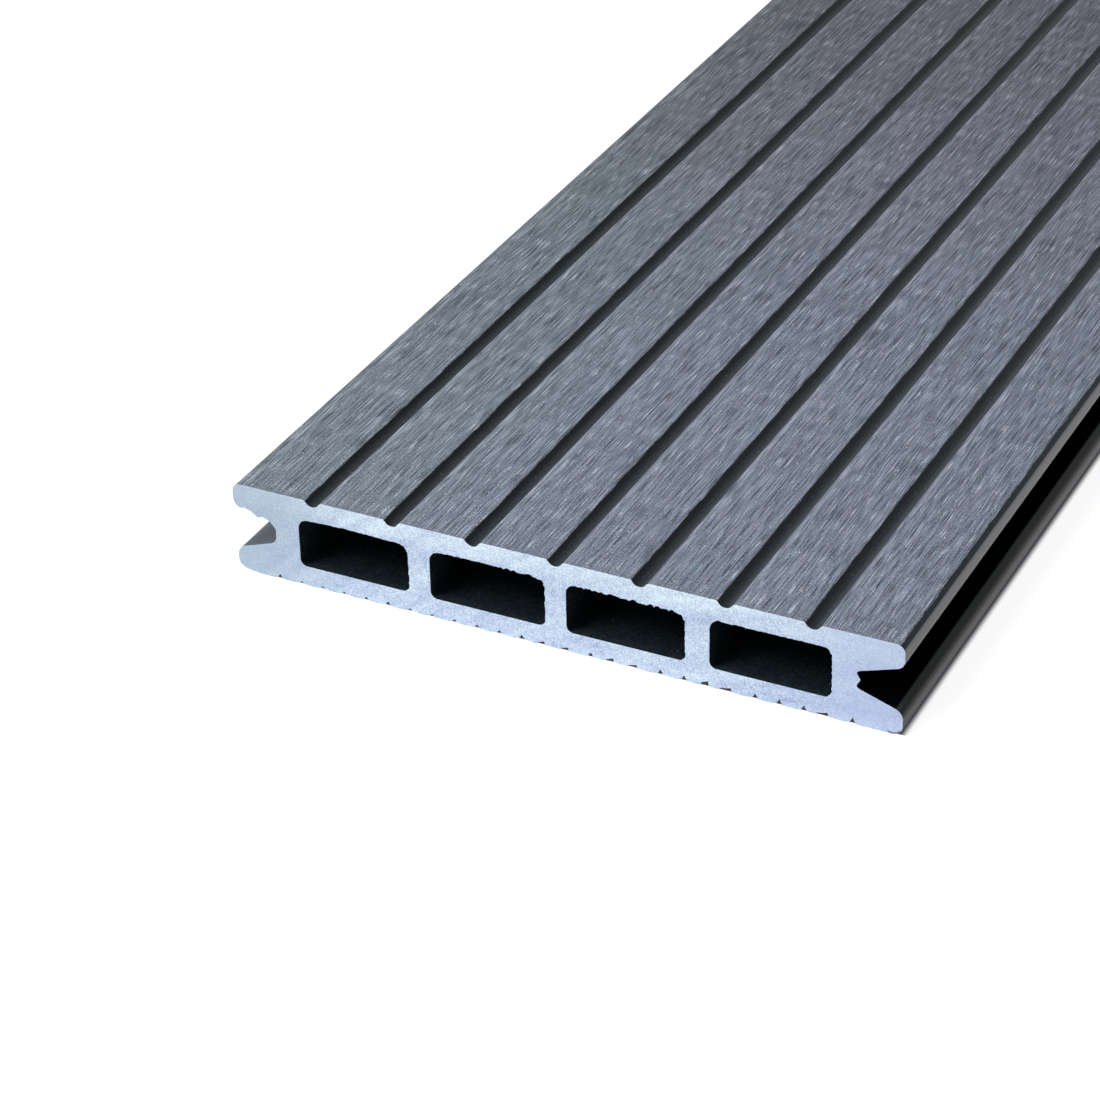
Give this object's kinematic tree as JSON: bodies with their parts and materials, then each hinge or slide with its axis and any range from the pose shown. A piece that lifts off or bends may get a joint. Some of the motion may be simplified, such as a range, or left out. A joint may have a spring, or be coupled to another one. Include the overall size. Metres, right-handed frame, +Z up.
{
  "type": "decking board",
  "caption": "Hollow wood-plastic composite decking board: brushed face with drainage grooves, a clip groove in each long edge, fine notches underneath.",
  "frame": {"origin": "middle of the underside, halfway along and halfway across the board", "axes": "+X across the board, +Y along its length, +Z up out of the walking face"},
  "size_m": [0.145, 2.2, 0.0202],
  "materials": {
    "composite": "matte, brushed along the board on the walking face, extruded skin elsewhere, pale sawn ends"
  },
  "bodies": {
    "root": {"board": "composite"}
  },
  "joints": []
}
